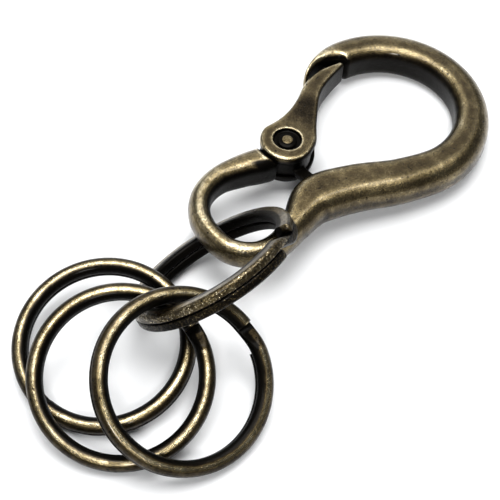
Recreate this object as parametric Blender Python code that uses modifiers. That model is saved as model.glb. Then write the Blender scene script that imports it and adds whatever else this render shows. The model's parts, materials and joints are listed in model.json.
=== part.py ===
"""Carabiner keyring: a cast lever-snap hook, a connecting split ring and three key rings.

Metres, +Z up. +X runs along the hook from its small eye to the round end of the big
loop. The keyring lies on the plane z = 0: the round end of the hook rests on it, the eye
is propped up by the connecting ring that passes under it, and the key rings lean on each
other with their far edges on the plane.
"""
import math

import bmesh
import bpy
from mathutils import Matrix, Vector

MM = 0.001

# Hook casting, in the hook's own frame: X along the hook, Z through its thickness.
HOOK_PITCH = math.radians(4.9)      # the eye end is propped up by this angle
HOOK_HEIGHT = 6.4                   # thickness of the casting
LOOP_CENTRE = (15.75, 9.25)
LOOP_RADIUS = 14.85                 # centre line of the big loop
LOOP_WIDTH = 5.85
LOOP_WIDENING = 0.45                # added to each edge where the loop meets the shank
OUTER_CORNER = 2.6                  # rounding of the casting's outer long edges
INNER_CORNER = 1.9                  # and of the edges that face an opening
NOSE_STEP_ANGLE = 81.0              # where the full section stops and the thin lip starts
NOSE_TIP_ANGLE = 114.0
SHANK_ANGLE = -92.0                 # where the big loop runs into the shank
LOOP_STEPS = 38
SECTION_STEPS = 4                   # points on each rounded corner of a section
CORNER_SHARE = 0.95                 # most of a section's half side that a corner may take

# Nose lip: how far back from the tip, the two edges from the centre line, the height.
LIP_STATIONS = (
    (0.0, 1.0, 0.55, 4.2),
    (1.5, 1.3, 0.5, 5.0),
    (6.0, 1.65, 0.45, 5.7),
    (13.0, 2.0, 0.35, 6.1),
    (21.0, 2.4, -0.5, 6.4),
    (27.0, 2.7, -1.3, 6.4),
    (30.0, 2.8, -1.9, 6.4),
    (32.4, 2.9, -2.7, 6.4),
)

# Shank and eye: centre line points with the width and height of the casting there.
SHANK_STATIONS = (
    (7.0, -3.2, 7.2, 6.4),
    (-0.6, 0.8, 7.8, 6.4),
    (-7.4, 3.0, 7.8, 6.3),
    (-13.4, 1.3, 5.2, 5.7),
    (-18.4, 0.1, 4.1, 5.1),
    (-22.8, 1.0, 3.7, 5.0),
    (-25.6, 4.2, 3.6, 5.0),
    (-26.0, 8.6, 3.6, 5.0),
    (-24.8, 12.7, 3.7, 5.0),
    (-21.6, 15.8, 3.8, 5.1),
    (-17.2, 16.8, 4.1, 5.4),
    (-12.6, 15.9, 4.8, 5.9),
    (-8.4, 14.5, 5.4, 6.2),
    (-4.6, 14.2, 5.6, 6.4),
)
STATION_STEPS = 4
JOIN_ANGLE = 29.0                   # the point on the loop that leads into the shank's curve

# Gate (the lever), its lug on the hook, and the rivet they share.
PIVOT = (-3.6, 14.4)
GATE_ANGLE = math.radians(19.3)     # from the pivot to the tip of the closed gate
GATE_LENGTH = 21.9
GATE_BASE_RADIUS = 4.7
GATE_BASE_HALF = 3.05               # half thickness at the pivot
GATE_TIP_HALF = 2.4                 # half thickness at the tip
GATE_EDGE = 0.7
GATE_BASE_START = 82.0              # the round base runs between these two angles
GATE_BASE_END = 268.0
GATE_BASE_STEPS = 18
GATE_INNER = ((2.6, -4.3), (5.8, -2.7), (9.2, -1.2), (12.3, 0.0), (15.0, 0.4), (18.4, 0.2))
GATE_TIP = ((-0.6, -0.2), (0.0, 0.2), (-0.3, 0.8))      # from the end of the gate's length
GATE_OUTER = ((20.0, 1.8), (17.8, 2.9), (15.4, 3.5), (12.8, 3.6), (9.8, 3.1), (6.6, 3.0),
              (3.6, 3.5))
FORK_HALF = 1.8                     # half the gap between the gate's two cheeks
FORK_RADIUS = 5.6                   # how far the fork is cut beyond the pivot
LUG_HALF = 1.5
LUG_RADIUS = 4.3
LUG_NECK = (-6.6, -1.0, 2.1)        # from and to along the casting, and half its width
STEP_RADIUS = 5.3                   # the casting ends this far from the pivot
SLOT_HALF = 0.95                    # half the spring's slot in the lug
SLOT_REACH = 2.7                    # from the pivot towards the eye
SLOT_SIDE = 2.2                     # from the pivot to the slot's closed side
BORE_RADIUS = 1.3
PIN_RADIUS = 1.0
RECESS_RADIUS = 2.45
RECESS_DEPTH = 0.75
RIVET_HEAD_RADIUS = 1.7
RIVET_HEAD_GAP = 0.25               # between the head and the recess floor
RIVET_HEAD = 0.2
RIVET_CHAMFER = 0.08
NUB_RADIUS = 1.0
NUB_TOP = 0.1                       # the worn nub ends this far below the cheek
NUB_CHAMFER = 0.15
PIN_STEPS = 32
MERGE = 0.00001
CUT_BEYOND = 6.0                    # how far a cutter runs past the piece it cuts

# Torsion spring round the rivet, one leg on the slot's floor and one in the fork.
SPRING_WIRE = 0.4
SPRING_RADIUS = 1.65
SPRING_RISE = 1.1                   # from the first turn to the last
SPRING_START = math.radians(90.0)
SPRING_TURNS = 2
SPRING_STEPS = 16
HOOK_LEG = 2.4
GATE_LEG = 4.9

# Web that closes the eye between the lug and the shank.
WEB_BOX = ((-5.5, 5.4, 1.6), (-3.3, 11.0, 2.8))

# Split rings: two coils of wire, rounded on the faces that look away from each other.
RING_OUTER = 15.0
WIRE_WIDTH = 2.7                    # radial
COIL_GAP = 0.15
FLAT_CORNER = 0.3                   # rounding of the face that lies against the other coil
CONNECTING_WIRE = (1.6, (0.7, 0.6))   # height of one coil, width and height of its rounding
KEY_WIRE = (1.5, (1.25, 1.05))
RAMP_ANGLE = math.radians(20.0)     # where the wire climbs from one coil to the other
WIRE_STEPS = 4                      # points on each rounded corner of the wire
COIL_STEPS = 42

# Each ring: its centre, the direction in which its axis leans, its tilt from level, and
# the direction of its split measured about its own axis.
CONNECTING_RING = ("connecting_ring", (-30.8, 2.0, 11.35), 94.1, 44.2, 202.0)
KEY_RINGS = (
    ("key_ring_1", (-50.7, 6.05, 4.45), -149.0, 12.0, -44.0),
    ("key_ring_2", (-53.25, -1.45, 6.92), -133.0, 22.1, 106.0),
    ("key_ring_3", (-47.2, -9.45, 8.87), -89.1, 31.1, 74.0),
)
SWING_PIVOT = (-23.54, 4.99, 7.91)   # where the connecting ring swings round the eye

# From the shank's underside, where the layout starts, to the middle of the model's base.
LAYOUT_SHIFT = (17.06, -2.05, 0.0)
HOOK_REST = 2.68                    # height of the hook frame that sets its nose on the base


def collection(name):
    """A new collection in the scene."""
    made = bpy.data.collections.new(name)
    bpy.context.scene.collection.children.link(made)
    return made


def metal(name, colour, roughness):
    """Antique brass of one shade."""
    material = bpy.data.materials.new(name)
    material.use_nodes = True
    shader = material.node_tree.nodes["Principled BSDF"]
    shader.inputs["Base Color"].default_value = (*colour, 1.0)
    shader.inputs["Roughness"].default_value = roughness
    shader.inputs["Metallic"].default_value = 1.0
    return material


def add_object(name, data, group, material=None, parent=None):
    """Link an object and give it its material and its parent."""
    made = bpy.data.objects.new(name, data)
    group.objects.link(made)
    if material is not None:
        data.materials.append(material)
    made.parent = parent
    return made


def add_empty(name, group, location, rotation, parent=None):
    """An empty that carries the pieces of one moving body."""
    made = bpy.data.objects.new(name, None)
    made.empty_display_size = 5 * MM
    group.objects.link(made)
    made.parent = parent
    made.location = Vector(location) * MM
    made.rotation_euler = rotation
    return made


def rounded_section(half_width, half_height, corners, per_corner):
    """Points of a rectangle with four elliptical corners, counter-clockwise, as (across, up)."""
    points = []
    for turn, (side, top) in enumerate(((1, 1), (-1, 1), (-1, -1), (1, -1))):
        wide, high = corners[turn]
        for step in range(per_corner):
            angle = math.pi / 2 * (turn + step / (per_corner - 1))
            across = side * (half_width - wide) + wide * math.cos(angle)
            up = top * (half_height - high) + high * math.sin(angle)
            points.append((across, up))
    return points


def hook_section(width, height):
    """The casting's cross-section, rounder outside than towards the openings."""
    wide = CORNER_SHARE * width / 2
    high = CORNER_SHARE * height / 2
    outer = (min(OUTER_CORNER, wide), min(OUTER_CORNER, high))
    inner = (min(INNER_CORNER, wide), min(INNER_CORNER, high))
    return rounded_section(width / 2, height / 2, (outer, inner, inner, outer), SECTION_STEPS)


def coil_section(wire, climb):
    """The wire's cross-section: domed below on the lower coil, above on the upper one."""
    coil_height, (dome_wide, dome_high) = wire
    lower = (dome_wide + (FLAT_CORNER - dome_wide) * climb,
             dome_high + (FLAT_CORNER - dome_high) * climb)
    upper = (dome_wide + FLAT_CORNER - lower[0], dome_high + FLAT_CORNER - lower[1])
    return rounded_section(WIRE_WIDTH / 2, coil_height / 2, (upper, upper, lower, lower),
                           WIRE_STEPS)


def loft(name, rings):
    """A closed mesh through rings of equal length, capped at both ends."""
    mesh = bpy.data.meshes.new(name)
    build = bmesh.new()
    rows = [[build.verts.new(Vector(point) * MM) for point in ring] for ring in rings]
    count = len(rows[0])
    for first, second in zip(rows, rows[1:]):
        for index in range(count):
            after = (index + 1) % count
            build.faces.new((first[index], first[after], second[after], second[index]))
    build.faces.new(reversed(rows[0]))
    build.faces.new(rows[-1])
    bmesh.ops.recalc_face_normals(build, faces=build.faces)
    build.to_mesh(mesh)
    build.free()
    return mesh


def catmull(before, start, end, after, t):
    """A point on the smooth curve between start and end."""
    return tuple(
        0.5 * (2 * b + (c - a) * t + (2 * a - 5 * b + 4 * c - d) * t * t
               + (3 * b - a - 3 * c + d) * t ** 3)
        for a, b, c, d in zip(before, start, end, after))


def loop_station(angle, outer, inner, height):
    """A cross-section of the big loop, its two edges measured from the centre line."""
    direction = Vector((math.cos(math.radians(angle)), math.sin(math.radians(angle)), 0.0))
    middle = LOOP_RADIUS + (outer + inner) / 2
    centre = Vector((*LOOP_CENTRE, HOOK_HEIGHT / 2)) + direction * middle
    return centre, direction, outer - inner, height


def hook_stations():
    """Cross-sections from the nose, round the big loop, along the shank and the eye."""
    half = LOOP_WIDTH / 2
    stations = []
    for back, outer, inner, height in LIP_STATIONS:
        stations.append(loop_station(NOSE_TIP_ANGLE - back, outer, inner, height))
    for step in range(LOOP_STEPS + 1):
        angle = NOSE_STEP_ANGLE + (SHANK_ANGLE - NOSE_STEP_ANGLE) * step / LOOP_STEPS
        widen = LOOP_WIDENING * max(0.0, angle / SHANK_ANGLE) ** 2
        stations.append(loop_station(angle, half + widen, -half - widen, HOOK_HEIGHT))
    joins = []
    for degrees in (SHANK_ANGLE + JOIN_ANGLE, SHANK_ANGLE):
        angle = math.radians(degrees)
        joins.append((LOOP_CENTRE[0] + LOOP_RADIUS * math.cos(angle),
                      LOOP_CENTRE[1] + LOOP_RADIUS * math.sin(angle),
                      LOOP_WIDTH + 2 * LOOP_WIDENING, HOOK_HEIGHT))
    points = joins + list(SHANK_STATIONS)
    points.append(tuple(2 * b - a for a, b in zip(points[-2], points[-1])))
    path = []
    for index in range(1, len(points) - 2):
        for step in range(1, STATION_STEPS + 1):
            path.append(catmull(*points[index - 1:index + 3], step / STATION_STEPS))
    for index, (x, y, width, height) in enumerate(path):
        ahead = path[min(index + 1, len(path) - 1)]
        behind = path[max(index - 1, 0)]
        travel = Vector((ahead[0] - behind[0], ahead[1] - behind[1], 0.0)).normalized()
        outward = Vector((-travel.y, travel.x, 0.0))
        stations.append((Vector((x, y, HOOK_HEIGHT / 2)), outward, width, height))
    return stations


def hook_mesh():
    """The casting's bent bar as one loft."""
    rings = []
    for centre, outward, width, height in hook_stations():
        section = hook_section(width, height)
        rings.append([centre + outward * across + Vector((0, 0, up)) for across, up in section])
    return loft("hook_body", rings)


def cylinder(name, radius, low, high, centre, segments=48):
    """An upright cylinder between two heights."""
    mesh = bpy.data.meshes.new(name)
    build = bmesh.new()
    place = Matrix.Translation(Vector((*centre, (low + high) / 2)) * MM)
    bmesh.ops.create_cone(build, cap_ends=True, segments=segments, radius1=radius * MM,
                          radius2=radius * MM, depth=(high - low) * MM, matrix=place)
    build.to_mesh(mesh)
    build.free()
    return mesh


def box(name, low, high):
    """A box between two corners."""
    mesh = bpy.data.meshes.new(name)
    build = bmesh.new()
    low, high = Vector(low), Vector(high)
    place = Matrix.Translation((low + high) / 2 * MM) @ Matrix.Diagonal((*((high - low) * MM), 1))
    bmesh.ops.create_cube(build, size=1.0, matrix=place)
    build.to_mesh(mesh)
    build.free()
    return mesh


def helper(name, mesh, group, parent):
    """A cutter or a piece to join, kept out of the model."""
    made = add_object(name, mesh, group, parent=parent)
    made.hide_render = True
    made.display_type = "WIRE"
    return made


def boolean(target, other, operation):
    """Cut or join another object into the target."""
    modifier = target.modifiers.new(other.name, "BOOLEAN")
    modifier.operation = operation
    modifier.solver = "EXACT"
    modifier.object = other


def smooth(mesh, angle=40.0):
    """Shade round surfaces smooth and keep the sharp edges."""
    mesh.shade_smooth()
    mesh.set_sharp_from_angle(angle=math.radians(angle))


def make_hook(parts, cutters, frame, brass):
    """The casting with its lug, spring slot, rivet bore and the web that closes the eye."""
    body = add_object("hook_body", hook_mesh(), parts, brass, frame)
    middle = HOOK_HEIGHT / 2
    top = HOOK_HEIGHT + CUT_BEYOND
    step = cylinder("step", STEP_RADIUS, -CUT_BEYOND, top, PIVOT)
    boolean(body, helper("step_cutter", step, cutters, frame), "DIFFERENCE")
    disc = cylinder("lug_disc", LUG_RADIUS, middle - LUG_HALF, middle + LUG_HALF, PIVOT)
    boolean(body, helper("lug_disc", disc, cutters, frame), "UNION")
    start, end, half = LUG_NECK
    neck = box("lug_neck", (PIVOT[0] + start, PIVOT[1] - half, middle - LUG_HALF),
               (PIVOT[0] + end, PIVOT[1] + half, middle + LUG_HALF))
    boolean(body, helper("lug_neck", neck, cutters, frame), "UNION")
    web = box("eye_web", *WEB_BOX)
    boolean(body, helper("eye_web", web, cutters, frame), "UNION")
    slot = box("spring_slot", (PIVOT[0] - SLOT_REACH, PIVOT[1] - SLOT_SIDE, middle - SLOT_HALF),
               (PIVOT[0] + CUT_BEYOND, PIVOT[1] + CUT_BEYOND, middle + SLOT_HALF))
    boolean(body, helper("spring_slot", slot, cutters, frame), "DIFFERENCE")
    bore = cylinder("lug_bore", BORE_RADIUS, -CUT_BEYOND, top, PIVOT)
    boolean(body, helper("lug_bore", bore, cutters, frame), "DIFFERENCE")
    smooth(body.data)


def gate_outline():
    """Outline of the gate about its pivot, X towards the tip, as (x, y) points."""
    points = []
    sweep = GATE_BASE_END - GATE_BASE_START
    for step in range(GATE_BASE_STEPS + 1):
        angle = math.radians(GATE_BASE_START + sweep * step / GATE_BASE_STEPS)
        points.append((GATE_BASE_RADIUS * math.cos(angle), GATE_BASE_RADIUS * math.sin(angle)))
    tip = [(GATE_LENGTH + x, y) for x, y in GATE_TIP]
    return points + list(GATE_INNER) + tip + list(GATE_OUTER)


def make_gate(parts, cutters, pivot, brass):
    """The lever: two cheeks astride the lug, tapering to the tip that tucks in the nose."""
    slope = (GATE_BASE_HALF - GATE_TIP_HALF) / GATE_LENGTH
    lower, upper = [], []
    for x, y in gate_outline():
        half = GATE_BASE_HALF - slope * x
        lower.append((x, y, -half))
        upper.append((x, y, half))
    mesh = loft("gate", (lower, upper))
    gate = add_object("gate", mesh, parts, brass, pivot)
    gate.rotation_euler = (0, 0, GATE_ANGLE)
    bevel = gate.modifiers.new("edges", "BEVEL")
    bevel.width = GATE_EDGE * MM
    bevel.segments = 2
    bevel.limit_method = "ANGLE"
    bevel.angle_limit = math.radians(50)
    fork_disc = cylinder("fork_disc", FORK_RADIUS, -FORK_HALF, FORK_HALF, (0, 0))
    boolean(gate, helper("fork_disc", fork_disc, cutters, pivot), "DIFFERENCE")
    bore = cylinder("gate_bore", BORE_RADIUS, -CUT_BEYOND, CUT_BEYOND, (0, 0))
    boolean(gate, helper("gate_bore", bore, cutters, pivot), "DIFFERENCE")
    floor = GATE_BASE_HALF - RECESS_DEPTH
    for name, low, high in (("top_recess", floor, CUT_BEYOND),
                            ("bottom_recess", -CUT_BEYOND, -floor)):
        recess = cylinder(name, RECESS_RADIUS, low, high, (0, 0))
        boolean(gate, helper(name, recess, cutters, pivot), "DIFFERENCE")
    smooth(gate.data)


def outline_mesh(name, profile):
    """An open line through (radius, height) points, to be turned about Z."""
    mesh = bpy.data.meshes.new(name)
    build = bmesh.new()
    verts = [build.verts.new((radius * MM, 0, height * MM)) for radius, height in profile]
    for first, second in zip(verts, verts[1:]):
        build.edges.new((first, second))
    build.to_mesh(mesh)
    build.free()
    return mesh


def make_pin(parts, frame, brass):
    """The rivet: a plain shank with a low head and a worn nub in each recess."""
    head = GATE_BASE_HALF - RECESS_DEPTH + RIVET_HEAD_GAP
    top = head + RIVET_HEAD
    nub = GATE_BASE_HALF - NUB_TOP
    upper = [(0, nub), (NUB_RADIUS - NUB_CHAMFER, nub), (NUB_RADIUS, nub - NUB_CHAMFER),
             (NUB_RADIUS, top), (RIVET_HEAD_RADIUS - RIVET_CHAMFER, top),
             (RIVET_HEAD_RADIUS, top - RIVET_CHAMFER), (RIVET_HEAD_RADIUS, head),
             (PIN_RADIUS, head)]
    lower = [(radius, -height) for radius, height in reversed(upper)]
    pin = add_object("pivot_pin", outline_mesh("pivot_pin", upper + lower), parts, brass, frame)
    turn = pin.modifiers.new("turn", "SCREW")
    turn.steps = PIN_STEPS
    turn.render_steps = PIN_STEPS
    turn.use_merge_vertices = True
    turn.merge_threshold = MERGE


def make_spring(parts, frame, steel):
    """The torsion spring: a leg on the slot's floor, turns round the rivet, a leg in the fork."""
    steps = SPRING_STEPS * SPRING_TURNS
    start = Vector((-HOOK_LEG, SPRING_RADIUS, -SPRING_RISE / 2))
    points = [start]
    for step in range(steps + 1):
        angle = SPRING_START - (2 * math.pi * SPRING_TURNS - GATE_ANGLE) * step / steps
        points.append(Vector((SPRING_RADIUS * math.cos(angle), SPRING_RADIUS * math.sin(angle),
                              SPRING_RISE * (step / steps - 0.5))))
    points.append(points[-1] + GATE_LEG * Vector((math.cos(GATE_ANGLE), math.sin(GATE_ANGLE), 0)))
    curve = bpy.data.curves.new("gate_spring", "CURVE")
    curve.dimensions = "3D"
    curve.bevel_depth = SPRING_WIRE / 2 * MM
    curve.bevel_resolution = 2
    curve.use_fill_caps = True
    spline = curve.splines.new("POLY")
    spline.points.add(len(points) - 1)
    for target, point in zip(spline.points, points):
        target.co = (*(point * MM), 1)
    add_object("gate_spring", curve, parts, steel, frame)


def split_ring_mesh(name, wire):
    """A split ring about Z: one coil, a short ramp, then the second coil on top of it."""
    pitch = wire[0] + COIL_GAP
    turn = 2 * math.pi
    total = 2 * turn - RAMP_ANGLE
    middle = RING_OUTER - WIRE_WIDTH / 2
    steps = int(COIL_STEPS * total / turn)
    rings = []
    for step in range(steps + 1):
        angle = total * step / steps
        climb = (angle - (turn - RAMP_ANGLE)) / RAMP_ANGLE
        climb = min(1.0, max(0.0, climb))
        climb = climb * climb * (3 - 2 * climb)
        height = pitch * (climb - 0.5)
        radial = Vector((math.cos(angle), -math.sin(angle), 0.0))
        rings.append([radial * (middle + across) + Vector((0, 0, height + up))
                      for across, up in coil_section(wire, climb)])
    return loft(name, rings)


def make_ring(ring, wire, parts, swing, brass):
    """A split ring about its own centre, tilted and turned to where it lies."""
    name, centre, lean, tilt, split = ring
    made = add_object(name, split_ring_mesh(name, wire), parts, brass, swing)
    made.location = (Vector(centre) - Vector(SWING_PIVOT)) * MM
    turn = (Matrix.Rotation(math.radians(lean), 3, "Z") @ Matrix.Rotation(math.radians(tilt), 3, "Y")
            @ Matrix.Rotation(math.radians(split), 3, "Z"))
    made.rotation_euler = turn.to_euler()
    smooth(made.data)


def clear_scene():
    """Remove the objects that a new file starts with."""
    for thing in list(bpy.data.objects):
        bpy.data.objects.remove(thing, do_unlink=True)


def main():
    clear_scene()
    parts = collection("carabiner_keyring")
    cutters = collection("cutters")
    cast = metal("antique_brass_cast", (0.33, 0.26, 0.15), 0.38)
    lever = metal("antique_brass_gate", (0.36, 0.28, 0.16), 0.4)
    wire = metal("antique_brass_wire", (0.30, 0.24, 0.15), 0.35)
    steel = metal("spring_steel", (0.45, 0.44, 0.42), 0.3)
    layout = add_empty("layout", parts, LAYOUT_SHIFT, (0, 0, 0))
    frame = add_empty("hook_frame", parts, (0, 0, HOOK_REST), (0, HOOK_PITCH, 0), layout)
    pivot = add_empty("gate_pivot", parts, (*PIVOT, HOOK_HEIGHT / 2), (0, 0, 0), frame)
    make_hook(parts, cutters, frame, cast)
    make_gate(parts, cutters, pivot, lever)
    make_pin(parts, pivot, wire)
    make_spring(parts, pivot, steel)
    swing = add_empty("connecting_swing", parts, SWING_PIVOT, (0, 0, 0), layout)
    make_ring(CONNECTING_RING, CONNECTING_WIRE, parts, swing, wire)
    for ring in KEY_RINGS:
        make_ring(ring, KEY_WIRE, parts, swing, wire)


main()
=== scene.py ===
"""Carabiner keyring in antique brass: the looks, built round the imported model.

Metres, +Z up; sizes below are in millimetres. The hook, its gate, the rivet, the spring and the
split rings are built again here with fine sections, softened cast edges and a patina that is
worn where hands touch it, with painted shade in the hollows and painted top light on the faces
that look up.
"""
import json
import math

import bmesh
import bpy
import numpy as np
from mathutils import Matrix, Vector


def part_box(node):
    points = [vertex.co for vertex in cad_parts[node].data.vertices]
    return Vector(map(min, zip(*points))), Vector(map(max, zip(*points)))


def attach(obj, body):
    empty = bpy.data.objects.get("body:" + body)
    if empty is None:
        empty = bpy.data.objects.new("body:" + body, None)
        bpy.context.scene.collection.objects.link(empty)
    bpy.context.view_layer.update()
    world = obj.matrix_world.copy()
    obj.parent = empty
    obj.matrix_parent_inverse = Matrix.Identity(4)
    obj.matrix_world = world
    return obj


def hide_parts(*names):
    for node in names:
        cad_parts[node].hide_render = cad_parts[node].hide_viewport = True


MM = 0.001

# The hook casting, in its own frame: X along the hook, Z through its thickness.
HOOK_HEIGHT = 6.4
LOOP_CENTRE = (15.75, 9.25)
LOOP_RADIUS = 14.85
LOOP_WIDTH = 5.85
LOOP_WIDENING = 0.45
NOSE_STEP_ANGLE = 81.0
NOSE_TIP_ANGLE = 114.0
SHANK_ANGLE = -92.0
LOOP_STEPS = 110

# The nose lip: degrees back from its tip, outer and inner edge from the centre line, height.
LIP_STEPS = 6
LIP_STATIONS = (
    (0.0, 1.0, 0.55, 4.2),
    (1.5, 1.3, 0.5, 5.0),
    (6.0, 1.65, 0.45, 5.7),
    (13.0, 2.0, 0.35, 6.1),
    (21.0, 2.4, -0.5, 6.4),
    (27.0, 2.7, -1.3, 6.4),
    (30.0, 2.8, -1.9, 6.4),
    (32.4, 2.9, -2.7, 6.4),
)

# The shank and the eye: x, y, width and height of each section.
SHANK_STATIONS = (
    (7.0, -3.2, 7.2, 6.4),
    (-0.6, 0.8, 7.8, 6.4),
    (-7.4, 3.0, 7.8, 6.3),
    (-13.4, 1.3, 5.2, 5.7),
    (-18.4, 0.1, 4.1, 5.1),
    (-22.8, 1.0, 3.7, 5.0),
    (-25.6, 4.2, 3.6, 5.0),
    (-26.0, 8.6, 3.6, 5.0),
    (-24.8, 12.7, 3.7, 5.0),
    (-21.6, 15.8, 3.8, 5.1),
    (-17.2, 16.8, 4.1, 5.4),
    (-12.6, 15.9, 4.8, 5.9),
    (-8.4, 14.5, 5.4, 6.2),
    (-4.6, 14.2, 5.6, 6.4),
)
STATION_STEPS = 10
EYE_CENTRE = (-16.5, 8.5)
EYE_RADIUS = 10.5
JOIN_ANGLE = 29.0
SECTION_STEPS = 9
OUTER_CORNER = 2.6
CORNER_SHARE = 0.95
INNER_CORNER = 1.9
CAST_VOXEL = 0.17
CAST_SMOOTHING = 6
RELIEF_REACH = 12

# The gate, in its own frame: X from the pivot towards its tip.
PIVOT = (-3.6, 14.4)
GATE_ANGLE = math.radians(19.3)
GATE_LENGTH = 21.9
GATE_BASE_RADIUS = 4.7
GATE_BASE_HALF = 3.05
GATE_TIP_HALF = 2.4
GATE_EDGE = 1.05
GATE_EDGE_SEGMENTS = 5
GATE_SHARP_EDGE = math.radians(50.0)
GATE_BASE_START = 82.0
GATE_BASE_END = 268.0
GATE_BASE_STEPS = 40
GATE_CURVE_STEPS = 6
GATE_INNER = ((2.6, -4.3), (5.8, -2.7), (9.2, -1.2), (12.3, 0.0), (15.0, 0.4), (18.4, 0.2))
GATE_TIP = ((-0.6, -0.2), (0.0, 0.2), (-0.3, 0.8))
GATE_OUTER = ((20.0, 1.8), (17.8, 2.9), (15.4, 3.5), (12.8, 3.6), (9.8, 3.1), (6.6, 3.0),
              (3.6, 3.5))
GATE_VOXEL = 0.12
GATE_SMOOTHING = 4
GATE_CUT_SMOOTHING = 2

# Where the gate, the lug and the rivet meet.
FORK_HALF = 1.8
FORK_RADIUS = 5.6
LUG_HALF = 1.5
LUG_RADIUS = 4.3
LUG_NECK = (-6.6, -1.0, 2.1)
STEP_RADIUS = 5.3
SLOT_HALF = 0.95
SLOT_REACH = 2.7
SLOT_SIDE = 2.2
BORE_RADIUS = 1.3
PIN_RADIUS = 1.0
RECESS_RADIUS = 2.45
RECESS_DEPTH = 0.75
RIVET_HEAD_RADIUS = 1.7
RIVET_HEAD_GAP = 0.25
RIVET_HEAD = 0.2
RIVET_CHAMFER = 0.08
RIVET_SEGMENTS = 72
RIVET_AXIS = 0.01
RIVET_RELIEF_REACH = 2
NUB_RADIUS = 1.0
NUB_TOP = 0.1
NUB_ROUND = (0.22, 0.2)
NUB_ROUND_STEPS = 8
NUB_FOOT = (0.06, 0.02)
CUT_BEYOND = 6.0
CUTTER_SEGMENTS = 96

# The low bar between the lug and the shank, which closes the eye.
WEB_BOX = ((-5.5, 5.4, 1.6), (-3.3, 11.0, 2.8))

SPRING_WIRE = 0.4
SPRING_RADIUS = 1.65
SPRING_RISE = 1.1
SPRING_START = math.radians(90.0)
SPRING_TURNS = 2
SPRING_STEPS = 48
SPRING_SIDES = 16
HOOK_LEG = 2.4
GATE_LEG = 4.9

# Split rings: two coils of wire, rounded on the faces that look away from each other.
RING_OUTER = 14.96
WIRE_WIDTH = 2.7
COIL_GAP = 0.15
FLAT_CORNER = 0.3
CONNECTING_WIRE = (1.6, (0.7, 0.6))
KEY_WIRE = (1.5, (1.3, 1.15))
RAMP_ANGLE = math.radians(20.0)
COIL_STEPS = 240
WIRE_STEPS = 9

# Each ring: the lean and the tilt of its axis, and the direction of its split.
CONNECTING_RING = ("connecting_ring", 94.1, 44.2, 202.0)
KEY_RINGS = (
    ("key_ring_1", -149.0, 12.0, -44.0),
    ("key_ring_2", -133.0, 22.1, 106.0),
    ("key_ring_3", -89.1, 31.1, 74.0),
)

# Camera, seen from the gate's pivot.
VIEW_TARGET = Vector((-15.639, -8.1, -6.176)) * MM
VIEW_TURN = math.radians(42.0)
VIEW_ELEVATION = math.radians(56.0)
VIEW_DISTANCE = 0.3
VIEW_LENS = 127.44
SENSOR_WIDTH = 36.0

# Soft boxes: name, direction as (right, back, up), distance and size in metres, watts.
LIGHTS = (
    ("key", (0.0, 0.1, 1.0), 0.5, (0.4, 0.4), 3.2),
    ("back", (0.0, 0.6, 0.8), 0.8, (0.8, 0.5), 0.9),
    ("front", (0.0, -0.7, 0.7), 0.6, (0.1, 0.1), 1.3),
    ("rear", (0.0, 0.8, 0.35), 0.8, (0.5, 0.3), 0.5),
    ("left", (-0.8, 0.0, 0.5), 0.8, (0.4, 0.4), 0.5),
)
ROOM_COLOUR = (0.94, 0.97, 1.0, 1.0)
ROOM_STRENGTH = 0.17
FLOOR_COLOUR = (0.94, 0.945, 0.95, 1.0)
FLOOR_HALF = 1.5

# How dark the patina and the painted shade are, from 0 on bare metal to 1 in the blackest hollow;
# the gate's neck is only made darker.
LOOP_WALL_PATINA_AND_SHADE = 0.45
EYE_WALL_PATINA_AND_SHADE = 0.7
GATE_WALL_PATINA_AND_SHADE = 0.6
NECK_DARKENING = 0.22
NECK_PLACE = 8.0
NECK_REACH = 4.5

# Antique brass, from black patina and painted shade to bare worn metal.
BRASS_COLOURS = (
    (0.02, (0.004, 0.0034, 0.0026)),
    (0.25, (0.017, 0.0125, 0.007)),
    (0.48, (0.066, 0.0485, 0.0225)),
    (0.72, (0.205, 0.158, 0.076)),
    (1.0, (0.78, 0.68, 0.46)),
)
STEEL_COLOURS = ((0.3, (0.10, 0.10, 0.10)), (0.7, (0.24, 0.23, 0.22)))

# Noises in the brass: scale per metre, detail, roughness.
CLOUDS = (210.0, 3.0, 0.6)
MOTTLE = (750.0, 5.0, 0.65)
GRAIN = (4200.0, 3.0, 0.75)
PITS = (1700.0, 2.0, 0.5)
FLECKS = (3000.0, 3.0, 0.7)
STEEL_GRAIN = (4000.0, 4.0, 0.6)
DENT_SCALE = 1900.0
RELIEF = 0.01


def rounded_section(half_width, half_height, corners, per_corner):
    """Points of a rectangle with four elliptical corners, counter-clockwise, as (across, up)."""
    points = []
    for turn, (side, top) in enumerate(((1, 1), (-1, 1), (-1, -1), (1, -1))):
        wide, high = corners[turn]
        for step in range(per_corner):
            angle = math.pi / 2 * (turn + step / (per_corner - 1))
            across = side * (half_width - wide) + wide * math.cos(angle)
            up = top * (half_height - high) + high * math.sin(angle)
            points.append((across, up))
    return points


def hook_section(width, height):
    """The casting's cross-section, rounder outside than towards the openings."""
    wide = CORNER_SHARE * width / 2
    high = CORNER_SHARE * height / 2
    outer = (min(OUTER_CORNER, wide), min(OUTER_CORNER, high))
    inner = (min(INNER_CORNER, wide), min(INNER_CORNER, high))
    return rounded_section(width / 2, height / 2, (outer, inner, inner, outer), SECTION_STEPS)


def coil_section(wire, climb):
    """The wire's cross-section: domed below on the lower coil, above on the upper one."""
    coil_height, (dome_wide, dome_high) = wire
    lower = (dome_wide + (FLAT_CORNER - dome_wide) * climb,
             dome_high + (FLAT_CORNER - dome_high) * climb)
    upper = (dome_wide + FLAT_CORNER - lower[0], dome_high + FLAT_CORNER - lower[1])
    return rounded_section(WIRE_WIDTH / 2, coil_height / 2, (upper, upper, lower, lower),
                           WIRE_STEPS)


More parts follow.
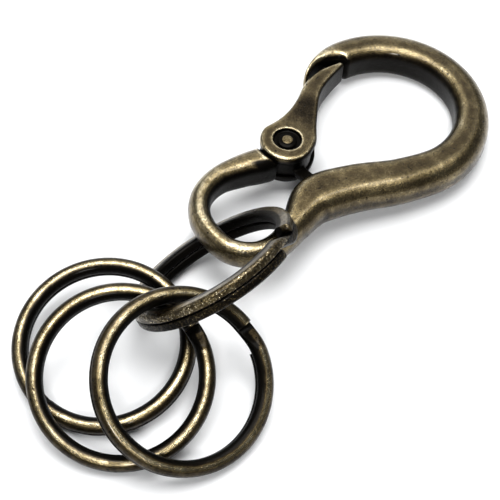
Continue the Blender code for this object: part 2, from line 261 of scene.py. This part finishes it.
def loft(name, rings):
    """A closed mesh through rings of equal length, capped at both ends."""
    mesh = bpy.data.meshes.new(name)
    build = bmesh.new()
    rows = [[build.verts.new(Vector(point) * MM) for point in ring] for ring in rings]
    count = len(rows[0])
    for first, second in zip(rows, rows[1:]):
        for index in range(count):
            after = (index + 1) % count
            build.faces.new((first[index], first[after], second[after], second[index]))
    build.faces.new(reversed(rows[0]))
    build.faces.new(rows[-1])
    bmesh.ops.recalc_face_normals(build, faces=build.faces)
    build.to_mesh(mesh)
    build.free()
    return mesh


def catmull(before, start, end, after, t):
    """A point on the smooth curve between start and end."""
    return tuple(
        0.5 * (2 * b + (c - a) * t + (2 * a - 5 * b + 4 * c - d) * t * t
               + (3 * b - a - 3 * c + d) * t ** 3)
        for a, b, c, d in zip(before, start, end, after))


def loop_station(angle, outer, inner, height):
    """A cross-section of the big loop, its two edges measured from the centre line."""
    direction = Vector((math.cos(math.radians(angle)), math.sin(math.radians(angle)), 0.0))
    middle = LOOP_RADIUS + (outer + inner) / 2
    centre = Vector((*LOOP_CENTRE, HOOK_HEIGHT / 2)) + direction * middle
    return centre, direction, outer - inner, height


def lip_stations():
    """The nose lip, its listed sections joined by a smooth curve."""
    rows = list(LIP_STATIONS)
    rows = [rows[0]] + rows + [rows[-1]]
    made = []
    for index in range(1, len(rows) - 2):
        for step in range(LIP_STEPS):
            back, outer, inner, height = catmull(*rows[index - 1:index + 3], step / LIP_STEPS)
            height = min(height, HOOK_HEIGHT)
            made.append(loop_station(NOSE_TIP_ANGLE - back, outer, inner, height))
    made.append(loop_station(NOSE_TIP_ANGLE - rows[-1][0], *rows[-1][1:]))
    return made


def hook_stations():
    """Cross-sections from the nose, round the big loop, along the shank and the eye."""
    half = LOOP_WIDTH / 2
    stations = lip_stations()
    for step in range(LOOP_STEPS + 1):
        angle = NOSE_STEP_ANGLE + (SHANK_ANGLE - NOSE_STEP_ANGLE) * step / LOOP_STEPS
        widen = LOOP_WIDENING * max(0.0, angle / SHANK_ANGLE) ** 2
        stations.append(loop_station(angle, half + widen, -half - widen, HOOK_HEIGHT))
    joins = []
    for degrees in (SHANK_ANGLE + JOIN_ANGLE, SHANK_ANGLE):
        angle = math.radians(degrees)
        joins.append((LOOP_CENTRE[0] + LOOP_RADIUS * math.cos(angle),
                      LOOP_CENTRE[1] + LOOP_RADIUS * math.sin(angle),
                      LOOP_WIDTH + 2 * LOOP_WIDENING, HOOK_HEIGHT))
    points = joins + list(SHANK_STATIONS)
    points.append(tuple(2 * b - a for a, b in zip(points[-2], points[-1])))
    path = []
    for index in range(1, len(points) - 2):
        for step in range(1, STATION_STEPS + 1):
            path.append(catmull(*points[index - 1:index + 3], step / STATION_STEPS))
    for index, (x, y, width, height) in enumerate(path):
        ahead = path[min(index + 1, len(path) - 1)]
        behind = path[max(index - 1, 0)]
        travel = Vector((ahead[0] - behind[0], ahead[1] - behind[1], 0.0)).normalized()
        outward = Vector((-travel.y, travel.x, 0.0))
        stations.append((Vector((x, y, HOOK_HEIGHT / 2)), outward, width, height))
    return stations


def cylinder(radius, low, high, centre):
    """An upright cylinder between two heights."""
    mesh = bpy.data.meshes.new("cutter")
    build = bmesh.new()
    place = Matrix.Translation(Vector((*centre, (low + high) / 2)) * MM)
    bmesh.ops.create_cone(build, cap_ends=True, segments=CUTTER_SEGMENTS,
                          radius1=radius * MM, radius2=radius * MM, depth=(high - low) * MM,
                          matrix=place)
    build.to_mesh(mesh)
    build.free()
    return mesh


def box(low, high):
    """A box between two corners."""
    mesh = bpy.data.meshes.new("cutter")
    build = bmesh.new()
    low, high = Vector(low), Vector(high)
    size = Matrix.Diagonal((*((high - low) * MM), 1))
    place = Matrix.Translation((low + high) / 2 * MM) @ size
    bmesh.ops.create_cube(build, size=1.0, matrix=place)
    build.to_mesh(mesh)
    build.free()
    return mesh


def new_object(name, data):
    """An object in the scene with the given mesh, light or camera."""
    made = bpy.data.objects.new(name, data)
    bpy.context.scene.collection.objects.link(made)
    return made


def apply_modifiers(target):
    """Replace the object's mesh with what its modifiers make of it."""
    bpy.context.view_layer.update()
    graph = bpy.context.evaluated_depsgraph_get()
    result = bpy.data.meshes.new_from_object(target.evaluated_get(graph))
    target.modifiers.clear()
    target.data = result


def cut(target, steps):
    """Join and cut helper meshes, one after the other."""
    helpers = []
    for operation, mesh in steps:
        helper = new_object("helper", mesh)
        helpers.append(helper)
        modifier = target.modifiers.new("cut", "BOOLEAN")
        modifier.operation = operation
        modifier.solver = "EXACT"
        modifier.object = helper
    apply_modifiers(target)
    for helper in helpers:
        bpy.data.objects.remove(helper, do_unlink=True)


def soften(target, voxel, smoothing):
    """Even quads over the whole piece, with its edges rounded as a tumbled casting's are."""
    remesh = target.modifiers.new("even", "REMESH")
    remesh.mode = "VOXEL"
    remesh.voxel_size = voxel * MM
    relax = target.modifiers.new("soften", "SMOOTH")
    relax.factor = 0.5
    relax.iterations = smoothing
    apply_modifiers(target)


def surface_detail(target, reach):
    """Store how convex each point is, so the patina can wear off edges and stay in hollows."""
    mesh = target.data
    count = len(mesh.vertices)
    points = np.empty(count * 3)
    mesh.vertices.foreach_get("co", points)
    points = points.reshape(-1, 3)
    normals = np.empty(count * 3)
    mesh.vertices.foreach_get("normal", normals)
    normals = normals.reshape(-1, 3)
    edges = np.empty(len(mesh.edges) * 2, int)
    mesh.edges.foreach_get("vertices", edges)
    first, second = edges.reshape(-1, 2).T
    links = np.bincount(edges, minlength=count)
    links = np.maximum(links, 1)

    def average(values):
        total = np.zeros_like(values)
        np.add.at(total, first, values[second])
        np.add.at(total, second, values[first])
        return total / (links[:, None] if values.ndim == 2 else links)

    spread = points
    for _ in range(reach):
        spread = average(spread)
    convex = np.einsum("ij,ij->i", points - spread, normals)
    for _ in range(2):
        convex = average(convex)
    store(mesh, "convex", convex / MM)
    return points, normals


def fade(values, start, end):
    """A smooth step from 0 at start to 1 at end."""
    share = np.clip((values - start) / (end - start), 0.0, 1.0)
    return share * share * (3 - 2 * share)


def store(mesh, name, values):
    """Keep one number for each point of a mesh."""
    attribute = mesh.attributes.new(name, "FLOAT", "POINT")
    attribute.data.foreach_set("value", np.asarray(values, np.float32))


def gate_joint():
    """The gate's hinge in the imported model."""
    return next(joint for joint in frame["joints"] if joint["name"] == "gate_hinge")


def hook_frame():
    """The hook's own frame, from the hinge of its gate."""
    joint = gate_joint()
    up = Vector(joint["axis"]).normalized()
    pitch = Matrix.Rotation(math.atan2(up.x, up.z), 4, "Y")
    pivot = Vector(joint["pos_m"])
    return Matrix.Translation(pivot) @ pitch @ Matrix.Translation(
        -Vector((*PIVOT, HOOK_HEIGHT / 2)) * MM)


def gate_frame(place):
    """The gate's pivot at mid height of the hook, in the hook's frame."""
    return place @ Matrix.Translation(Vector((*PIVOT, HOOK_HEIGHT / 2)) * MM)


def round_hole(flat, normals, centre):
    """Each point's distance from a hole's centre, and how squarely it faces the centre."""
    offset = np.array(centre) - flat
    distance = np.linalg.norm(offset, axis=1)
    facing = np.einsum("ij,ij->i", normals[:, :2], offset) / distance
    return distance, facing


def hook_patina_and_shade(points, normals):
    """Black patina where nothing rubs, with painted shade: the lug, the lip's hollow side, the
    walls of both holes, the eye's wall beside the lug and the bar.
    """
    flat = points[:, :2] / MM
    from_lug, _ = round_hole(flat, normals, PIVOT)
    from_loop, facing_loop = round_hole(flat, normals, LOOP_CENTRE)
    from_eye, facing_eye = round_hole(flat, normals, EYE_CENTRE)
    lug = fade(from_lug, STEP_RADIUS + 0.45, STEP_RADIUS + 0.05)
    loop_wall = LOOP_WALL_PATINA_AND_SHADE * fade(facing_loop, 0.55, 0.95)
    loop_wall *= fade(from_loop, LOOP_RADIUS + 1, LOOP_RADIUS)
    eye_wall = EYE_WALL_PATINA_AND_SHADE * fade(facing_eye, 0.55, 0.95)
    eye_wall *= fade(from_eye, EYE_RADIUS + 1, EYE_RADIUS)
    beside_lug = fade(from_lug, STEP_RADIUS + 3.5, STEP_RADIUS + 1.5) * fade(facing_eye, 0.1, 0.5)
    angle = np.degrees(np.arctan2(*(flat - LOOP_CENTRE).T[::-1]))
    under_lip = fade(angle, NOSE_STEP_ANGLE - 3, NOSE_STEP_ANGLE - 0.5)
    under_lip *= fade(angle, NOSE_TIP_ANGLE + 4, NOSE_TIP_ANGLE)
    under_lip *= fade(from_loop, LOOP_RADIUS + 0.6, LOOP_RADIUS - 0.1)
    under_lip *= fade(normals[:, 2], 0.85, 0.5)
    (left, near, _), (right, far, _) = WEB_BOX
    web = fade(np.abs(flat[:, 0] - (left + right) / 2), 1.7, 1.2)
    web *= fade(np.abs(flat[:, 1] - (near + far) / 2), 3.4, 2.7)
    web *= fade(points[:, 2] / MM, 4.2, 3.2)
    return np.max((lug, loop_wall, eye_wall, beside_lug, under_lip, web), axis=0)


def make_hook(place, material):
    """The casting: a swept body, with the lug, the slot and the bar joined and cut."""
    rings = []
    for centre, outward, width, height in hook_stations():
        section = hook_section(width, height)
        rings.append([centre + outward * across + Vector((0, 0, up)) for across, up in section])
    body = new_object("hook_casting", loft("hook_casting", rings))
    middle = HOOK_HEIGHT / 2
    top = HOOK_HEIGHT + CUT_BEYOND
    start, end, half = LUG_NECK
    cut(body, (
        ("DIFFERENCE", cylinder(STEP_RADIUS, -CUT_BEYOND, top, PIVOT)),
        ("UNION", cylinder(LUG_RADIUS, middle - LUG_HALF, middle + LUG_HALF, PIVOT)),
        ("UNION", box((PIVOT[0] + start, PIVOT[1] - half, middle - LUG_HALF),
                      (PIVOT[0] + end, PIVOT[1] + half, middle + LUG_HALF))),
        ("UNION", box(*WEB_BOX)),
        ("DIFFERENCE", box((PIVOT[0] - SLOT_REACH, PIVOT[1] - SLOT_SIDE, middle - SLOT_HALF),
                           (PIVOT[0] + CUT_BEYOND, PIVOT[1] + CUT_BEYOND, middle + SLOT_HALF))),
        ("DIFFERENCE", cylinder(BORE_RADIUS, -CUT_BEYOND, top, PIVOT)),
    ))
    soften(body, CAST_VOXEL, CAST_SMOOTHING)
    points, normals = surface_detail(body, RELIEF_REACH)
    store(body.data, "patina_and_shade", hook_patina_and_shade(points, normals))
    body.data.transform(place)
    finish_piece(body, material, "hook", "hook_body")


def gate_outline():
    """Outline of the gate about its pivot, X towards the tip, as (x, y) points."""
    points = []
    sweep = GATE_BASE_END - GATE_BASE_START
    for step in range(GATE_BASE_STEPS + 1):
        angle = math.radians(GATE_BASE_START + sweep * step / GATE_BASE_STEPS)
        points.append((GATE_BASE_RADIUS * math.cos(angle), GATE_BASE_RADIUS * math.sin(angle)))
    tip = [(GATE_LENGTH + x, y) for x, y in GATE_TIP]
    sides = []
    for run in ([points[-1], *GATE_INNER, tip[0]], [tip[-1], *GATE_OUTER, points[0]]):
        run = [run[0]] + run + [run[-1]]
        made = []
        for index in range(1, len(run) - 2):
            for step in range(1, GATE_CURVE_STEPS):
                made.append(catmull(*run[index - 1:index + 3], step / GATE_CURVE_STEPS))
            made.append(run[index + 1])
        sides.append(made[:-1])
    return points + sides[0] + tip + sides[1]


def gate_patina_and_shade(points, normals):
    """Black patina and painted shade in the recess and the fork, a darker neck, and a wall towards
    the loop with patina and painted shade.
    """
    radius = np.linalg.norm(points[:, :2], axis=1) / MM
    depth = GATE_BASE_HALF - np.abs(points[:, 2]) / MM
    recess = fade(radius, RECESS_RADIUS + 0.3, RECESS_RADIUS) * fade(depth, 0.0, 0.25)
    fork = fade(points[:, 2] / MM, FORK_HALF + 0.5, FORK_HALF) * fade(radius, 8.0, 6.5)
    wall = GATE_WALL_PATINA_AND_SHADE * fade(-normals[:, 1], 0.4, 0.9)
    neck = NECK_DARKENING * fade(np.abs(radius - NECK_PLACE), NECK_REACH, 1.0)
    return np.max((recess, fork, wall + neck), axis=0)


def make_gate(place, material):
    """The gate: its outline tapers in thickness, and its base is forked, bored and recessed."""
    slope = (GATE_BASE_HALF - GATE_TIP_HALF) / GATE_LENGTH
    lower, upper = [], []
    for x, y in gate_outline():
        half = GATE_BASE_HALF - slope * x
        lower.append((x, y, -half))
        upper.append((x, y, half))
    gate = new_object("gate_lever", loft("gate_lever", (lower, upper)))
    bevel = gate.modifiers.new("edges", "BEVEL")
    bevel.width = GATE_EDGE * MM
    bevel.segments = GATE_EDGE_SEGMENTS
    bevel.limit_method = "ANGLE"
    bevel.angle_limit = GATE_SHARP_EDGE
    apply_modifiers(gate)
    soften(gate, GATE_VOXEL, GATE_SMOOTHING)
    floor = GATE_BASE_HALF - RECESS_DEPTH
    cut(gate, (
        ("DIFFERENCE", cylinder(FORK_RADIUS, -FORK_HALF, FORK_HALF, (0, 0))),
        ("DIFFERENCE", cylinder(BORE_RADIUS, -CUT_BEYOND, CUT_BEYOND, (0, 0))),
        ("DIFFERENCE", cylinder(RECESS_RADIUS, floor, CUT_BEYOND, (0, 0))),
        ("DIFFERENCE", cylinder(RECESS_RADIUS, -CUT_BEYOND, -floor, (0, 0))),
    ))
    soften(gate, GATE_VOXEL, GATE_CUT_SMOOTHING)
    points, normals = surface_detail(gate, RELIEF_REACH)
    store(gate.data, "patina_and_shade", gate_patina_and_shade(points, normals))
    gate.data.transform(gate_frame(place) @ Matrix.Rotation(GATE_ANGLE, 4, "Z"))
    finish_piece(gate, material, "gate", "gate")


def make_pin(place, material):
    """The rivet, turned from its profile, the same above and below."""
    head = GATE_BASE_HALF - RECESS_DEPTH + RIVET_HEAD_GAP
    top = head + RIVET_HEAD
    nub = GATE_BASE_HALF - NUB_TOP
    wide, high = NUB_ROUND
    foot_wide, foot_high = NUB_FOOT
    upper = [(0.0, nub)]
    for step in range(1, NUB_ROUND_STEPS + 1):
        turn = math.pi / 2 * step / NUB_ROUND_STEPS
        upper.append((NUB_RADIUS - wide + wide * math.sin(turn),
                      nub - high + high * math.cos(turn)))
    upper += [(NUB_RADIUS, top + foot_high), (NUB_RADIUS + foot_wide, top),
              (RIVET_HEAD_RADIUS - RIVET_CHAMFER, top), (RIVET_HEAD_RADIUS, top - RIVET_CHAMFER),
              (RIVET_HEAD_RADIUS, head), (PIN_RADIUS, head)]
    lower = [(radius, -height) for radius, height in reversed(upper)]
    turns = [2 * math.pi * k / RIVET_SEGMENTS for k in range(RIVET_SEGMENTS)]
    rings = []
    for radius, height in upper + lower:
        radius = max(radius, RIVET_AXIS)
        rings.append([(radius * math.cos(turn), radius * math.sin(turn), height)
                      for turn in turns])
    pin = new_object("rivet", loft("rivet", rings))
    points, _ = surface_detail(pin, RIVET_RELIEF_REACH)
    radius = np.linalg.norm(points[:, :2], axis=1) / MM
    # Black patina and painted shade on the rivet's head, down in the gate's recess; the nub stays
    # bare.
    store(pin.data, "patina_and_shade", fade(radius, NUB_RADIUS - 0.08, NUB_RADIUS + 0.08))
    pin.data.transform(gate_frame(place))
    finish_piece(pin, material, "hook", "pivot_pin")


def make_spring(place, material):
    """The torsion spring round the rivet, with a leg in the lug and a leg along the gate."""
    steps = SPRING_STEPS * SPRING_TURNS
    points = [Vector((-HOOK_LEG, SPRING_RADIUS, -SPRING_RISE / 2))]
    for step in range(steps + 1):
        angle = SPRING_START - (2 * math.pi * SPRING_TURNS - GATE_ANGLE) * step / steps
        points.append(Vector((SPRING_RADIUS * math.cos(angle), SPRING_RADIUS * math.sin(angle),
                              SPRING_RISE * (step / steps - 0.5))))
    along_gate = Vector((math.cos(GATE_ANGLE), math.sin(GATE_ANGLE), 0.0))
    points.append(points[-1] + along_gate * GATE_LEG)
    turns = [2 * math.pi * k / SPRING_SIDES for k in range(SPRING_SIDES)]
    rings = []
    for index, point in enumerate(points):
        ahead = points[min(index + 1, len(points) - 1)]
        behind = points[max(index - 1, 0)]
        travel = (ahead - behind).normalized()
        side = travel.cross(Vector((0, 0, 1))).normalized()
        up = side.cross(travel)
        rings.append([point + (side * math.cos(turn) + up * math.sin(turn)) * SPRING_WIRE / 2
                      for turn in turns])
    spring = new_object("return_spring", loft("return_spring", rings))
    spring.data.transform(gate_frame(place))
    finish_piece(spring, material, "gate", "gate_spring")


def ring_mesh(name, wire):
    """A split ring about Z, with each point's place across the wire kept for its finish."""
    coil_height = wire[0]
    turn = 2 * math.pi
    total = 2 * turn - RAMP_ANGLE
    middle = RING_OUTER - WIRE_WIDTH / 2
    pitch = coil_height + COIL_GAP
    steps = int(COIL_STEPS * total / turn)
    rings = []
    across_all = []
    level_all = []
    for step in range(steps + 1):
        angle = total * step / steps
        climb = (angle - (turn - RAMP_ANGLE)) / RAMP_ANGLE
        climb = min(1.0, max(0.0, climb))
        climb = climb * climb * (3 - 2 * climb)
        height = pitch * (climb - 0.5)
        section = coil_section(wire, climb)
        radial = Vector((math.cos(angle), -math.sin(angle), 0.0))
        rings.append([radial * (middle + across) + Vector((0, 0, height + up))
                      for across, up in section])
        for across, up in section:
            across_all.append(across / (WIRE_WIDTH / 2))
            level_all.append((height + up) / (coil_height + pitch) * 2)
    mesh = loft(name, rings)
    store(mesh, "across", across_all)
    store(mesh, "level", level_all)
    return mesh


def make_ring(ring, wire, material):
    """One split ring, about the axis it turns on, or in the middle of its box if it has none."""
    name, lean, tilt, split = ring
    low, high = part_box(name)
    joint = [j for j in frame["joints"] if j["child"] == name and j.get("continuous")]
    centre = Vector(joint[0]["pos_m"]) if joint else (low + high) / 2
    piece = new_object(name + "_wire", ring_mesh(name + "_wire", wire))
    place = Matrix.Translation(centre)
    for degrees, axis in ((lean, "Z"), (tilt, "Y"), (split, "Z")):
        place = place @ Matrix.Rotation(math.radians(degrees), 4, axis)
    piece.data.transform(place)
    finish_piece(piece, material, name, name)


def finish_piece(piece, material, body, node):
    """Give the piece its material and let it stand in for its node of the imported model."""
    piece.data.materials.clear()
    piece.data.materials.append(material)
    piece.data.shade_smooth()
    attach(piece, body)
    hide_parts(node)


class Nodes:
    """Short calls for building a material's node tree."""

    def __init__(self, material):
        material.use_nodes = True
        self.tree = material.node_tree
        self.shader = self.tree.nodes["Principled BSDF"]
        self.shared_coordinates = None

    def new(self, kind, **settings):
        node = self.tree.nodes.new("ShaderNode" + kind)
        for name, value in settings.items():
            setattr(node, name, value)
        return node

    def link(self, source, target):
        self.tree.links.new(source, target)

    def math(self, operation, first, second=None):
        node = self.new("Math", operation=operation)
        for socket, value in zip(node.inputs, (first, second)):
            if value is None:
                continue
            if isinstance(value, (int, float)):
                socket.default_value = value
            else:
                self.link(value, socket)
        return node.outputs[0]

    def noise(self, scale, detail, roughness):
        node = self.new("TexNoise")
        node.inputs["Scale"].default_value = scale
        node.inputs["Detail"].default_value = detail
        node.inputs["Roughness"].default_value = roughness
        self.link(self.coordinates, node.inputs["Vector"])
        return node.outputs[0]

    @property
    def coordinates(self):
        """Object coordinates, from one node that all the textures share."""
        if self.shared_coordinates is None:
            self.shared_coordinates = self.new("TexCoord").outputs["Object"]
        return self.shared_coordinates

    def attribute(self, name):
        return self.new("Attribute", attribute_name=name).outputs["Fac"]

    def top_light(self):
        """How squarely a face looks up, for painted top light: from -1 on a face turned down to 1
        on a face turned up.
        """
        split = self.new("SeparateXYZ")
        self.link(self.new("NewGeometry").outputs["Normal"], split.inputs[0])
        return self.remap(split.outputs["Z"], -0.4, 1.0, -1.0, 1.0)

    def total(self, start, terms):
        """start plus each value times its weight."""
        for value, weight in terms:
            node = self.new("Math", operation="MULTIPLY_ADD")
            self.link(value, node.inputs[0])
            node.inputs[1].default_value = weight
            if isinstance(start, float):
                node.inputs[2].default_value = start
            else:
                self.link(start, node.inputs[2])
            start = node.outputs[0]
        return start

    def ramp(self, value, stops):
        node = self.new("ValToRGB")
        while len(node.color_ramp.elements) < len(stops):
            node.color_ramp.elements.new(0.5)
        for element, (place, colour) in zip(node.color_ramp.elements, stops):
            element.position = place
            element.color = (*colour, 1.0)
        self.link(value, node.inputs[0])
        return node.outputs[0]

    def remap(self, value, low, high, start=0.0, end=1.0):
        node = self.new("MapRange")
        node.inputs["From Min"].default_value = low
        node.inputs["From Max"].default_value = high
        node.inputs["To Min"].default_value = start
        node.inputs["To Max"].default_value = end
        self.link(value, node.inputs["Value"])
        return node.outputs[0]


def cast_brass(name, base, top_light_weight):
    """Cast pieces: worn golden on edges and crests, brown on faces with painted top light where
    they look up, black patina with painted shade in the hollows.
    """
    material = bpy.data.materials.new(name)
    nodes = Nodes(material)
    convex = nodes.remap(nodes.attribute("convex"), -0.05, 0.05, -1.0, 1.0)
    # Painted top light from how a face looks up, and painted shade with patina from the stored
    # mask.
    wear = nodes.total(base, ((convex, 0.42), (nodes.top_light(), top_light_weight),
                              (nodes.attribute("patina_and_shade"), -1.0)))
    finish_brass(nodes, wear)
    return material


def wire_brass(name, base, crest, wall, lower):
    """Split rings: the far faces are worn bright, the walls stay dark and the inside is black
    patina with painted shade; painted shade also darkens the gap between the coils and the
    lower coil, and painted top light brightens faces that look up.

    Gives the material, its nodes, the wear and where the outer wall is, for finish_brass.
    """
    material = bpy.data.materials.new(name)
    nodes = Nodes(material)
    across = nodes.attribute("across")
    height = nodes.attribute("level")
    level = nodes.math("ABSOLUTE", height)
    worn = nodes.remap(level, 0.88, 1.0)
    # Black patina and painted shade on the inner side of the wire.
    inside = nodes.remap(across, -0.3, 0.0, 1.0, 0.0)
    outside = nodes.remap(across, 0.4, 0.9)
    # Painted shade in the gap between the coils.
    gap = nodes.remap(level, 0.16, 0.05)
    # Painted top light where faces look up, painted shade on the lower coil.
    wear = nodes.total(base, ((worn, crest), (inside, -0.5), (outside, wall), (gap, -0.5),
                              (nodes.top_light(), 0.08), (nodes.remap(height, 0.2, -0.2), lower)))
    return material, nodes, wear, outside


def key_ring_brass():
    """The key rings are smooth, with a bright line along each crest."""
    material, nodes, wear, _ = wire_brass(
        "antique_brass_wire", base=0.29, crest=0.45, wall=0.0, lower=-0.12)
    finish_brass(nodes, wear)
    return material


def link_brass():
    """The connecting ring's outer wall is hammered, with bright dents."""
    material, nodes, wear, outside = wire_brass(
        "antique_brass_link", base=0.30, crest=0.2, wall=0.1, lower=-0.32)
    dents = nodes.new("TexVoronoi")
    dents.inputs["Scale"].default_value = DENT_SCALE
    nodes.link(nodes.coordinates, dents.inputs["Vector"])
    dent = nodes.math("MULTIPLY", dents.outputs["Distance"], outside)
    flecks = nodes.remap(nodes.noise(*FLECKS), 0.52, 0.66)
    flecks = nodes.math("MULTIPLY", flecks, outside)
    finish_brass(nodes, nodes.total(wear, ((flecks, 0.5),)), dent)
    return material


def finish_brass(nodes, wear, dents=None):
    """Colour, gloss and fine relief of antique brass, from how worn each point is, with the
    painted shade and top light counted in.
    """
    clouds = nodes.remap(nodes.noise(*CLOUDS), 0.3, 0.7, -1.0, 1.0)
    mottle = nodes.remap(nodes.noise(*MOTTLE), 0.3, 0.7, -1.0, 1.0)
    grain = nodes.remap(nodes.noise(*GRAIN), 0.3, 0.7, -1.0, 1.0)
    pits = nodes.remap(nodes.noise(*PITS), 0.66, 0.72)
    wear = nodes.total(wear, ((clouds, 0.10), (mottle, 0.09), (grain, 0.13), (pits, -0.4)))
    nodes.link(nodes.ramp(wear, BRASS_COLOURS), nodes.shader.inputs["Base Color"])
    rough = nodes.total(nodes.remap(wear, 0.1, 0.75, 0.5, 0.19), ((grain, 0.06),))
    nodes.link(rough, nodes.shader.inputs["Roughness"])
    nodes.shader.inputs["Metallic"].default_value = 1.0
    nodes.link(nodes.remap(wear, 0.2, 0.8, 0.05, 0.6), nodes.shader.inputs["Coat Weight"])
    nodes.shader.inputs["Coat Roughness"].default_value = 0.14
    height = nodes.total(grain, ((mottle, 1.0), (pits, -4.0)))
    if dents is not None:
        height = nodes.total(height, ((dents, 7.0),))
    bump = nodes.new("Bump")
    bump.inputs["Strength"].default_value = 1.0
    bump.inputs["Distance"].default_value = RELIEF * MM
    nodes.link(height, bump.inputs["Height"])
    nodes.link(bump.outputs[0], nodes.shader.inputs["Normal"])


def spring_steel():
    """Drawn steel wire, faintly grained."""
    material = bpy.data.materials.new("spring_steel")
    nodes = Nodes(material)
    grain = nodes.noise(*STEEL_GRAIN)
    nodes.link(nodes.ramp(grain, STEEL_COLOURS), nodes.shader.inputs["Base Color"])
    nodes.link(nodes.remap(grain, 0.3, 0.7, 0.25, 0.4), nodes.shader.inputs["Roughness"])
    nodes.shader.inputs["Metallic"].default_value = 1.0
    return material


def make_floor():
    """A plain pale table top."""
    mesh = bpy.data.meshes.new("floor")
    build = bmesh.new()
    bmesh.ops.create_grid(build, x_segments=1, y_segments=1, size=FLOOR_HALF)
    build.to_mesh(mesh)
    build.free()
    floor = new_object("floor", mesh)
    material = bpy.data.materials.new("floor")
    nodes = Nodes(material)
    nodes.shader.inputs["Base Color"].default_value = FLOOR_COLOUR
    nodes.shader.inputs["Roughness"].default_value = 0.7
    nodes.shader.inputs["Specular IOR Level"].default_value = 0.2
    mesh.materials.append(material)


def area_light(name, centre, away, distance, size, power):
    """A soft box that faces the object from one side."""
    data = bpy.data.lights.new(name, "AREA")
    data.shape = "RECTANGLE"
    data.size, data.size_y = size
    data.energy = power
    light = new_object(name, data)
    light.location = centre + away * distance
    light.rotation_euler = away.to_track_quat("Z", "Y").to_euler()


def make_lights(centre):
    """A pale room and soft boxes, turned with the camera's side of the object."""
    world = bpy.data.worlds.new("studio")
    bpy.context.scene.world = world
    world.use_nodes = True
    background = world.node_tree.nodes["Background"]
    background.inputs["Color"].default_value = ROOM_COLOUR
    background.inputs["Strength"].default_value = ROOM_STRENGTH
    turn = Matrix.Rotation(-VIEW_TURN, 3, "Z")
    for name, direction, distance, size, power in LIGHTS:
        away = turn @ Vector(direction).normalized()
        area_light(name, centre, away, distance, size, power)


def make_camera(target):
    """A long lens that looks down on the keyring from its near side."""
    data = bpy.data.cameras.new("camera")
    data.lens = VIEW_LENS
    data.sensor_width = SENSOR_WIDTH
    data.clip_start = 0.01
    camera = new_object("camera", data)
    level = math.cos(VIEW_ELEVATION)
    forward = Vector((math.sin(VIEW_TURN) * level, math.cos(VIEW_TURN) * level,
                      -math.sin(VIEW_ELEVATION)))
    camera.location = target - forward * VIEW_DISTANCE
    camera.rotation_euler = forward.to_track_quat("-Z", "Y").to_euler()
    bpy.context.scene.camera = camera


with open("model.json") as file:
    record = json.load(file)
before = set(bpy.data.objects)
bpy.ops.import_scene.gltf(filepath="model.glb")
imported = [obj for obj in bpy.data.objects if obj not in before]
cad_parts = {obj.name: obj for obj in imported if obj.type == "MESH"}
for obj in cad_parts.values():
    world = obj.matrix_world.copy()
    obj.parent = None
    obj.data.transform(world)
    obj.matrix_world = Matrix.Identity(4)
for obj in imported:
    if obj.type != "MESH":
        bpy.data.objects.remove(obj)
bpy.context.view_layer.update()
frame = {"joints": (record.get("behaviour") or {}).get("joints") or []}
place = hook_frame()
make_hook(place, cast_brass("antique_brass_cast", base=0.33, top_light_weight=0.13))
make_gate(place, cast_brass("antique_brass_gate", base=0.34, top_light_weight=0.14))
make_pin(place, cast_brass("antique_brass_rivet", base=0.38, top_light_weight=0.1))
make_spring(place, spring_steel())
make_ring(CONNECTING_RING, CONNECTING_WIRE, link_brass())
wire = key_ring_brass()
for key_ring in KEY_RINGS:
    make_ring(key_ring, KEY_WIRE, wire)
target = Vector(gate_joint()["pos_m"]) + VIEW_TARGET
make_floor()
make_lights(target)
make_camera(target)
bpy.context.scene.view_settings.view_transform = "Standard"
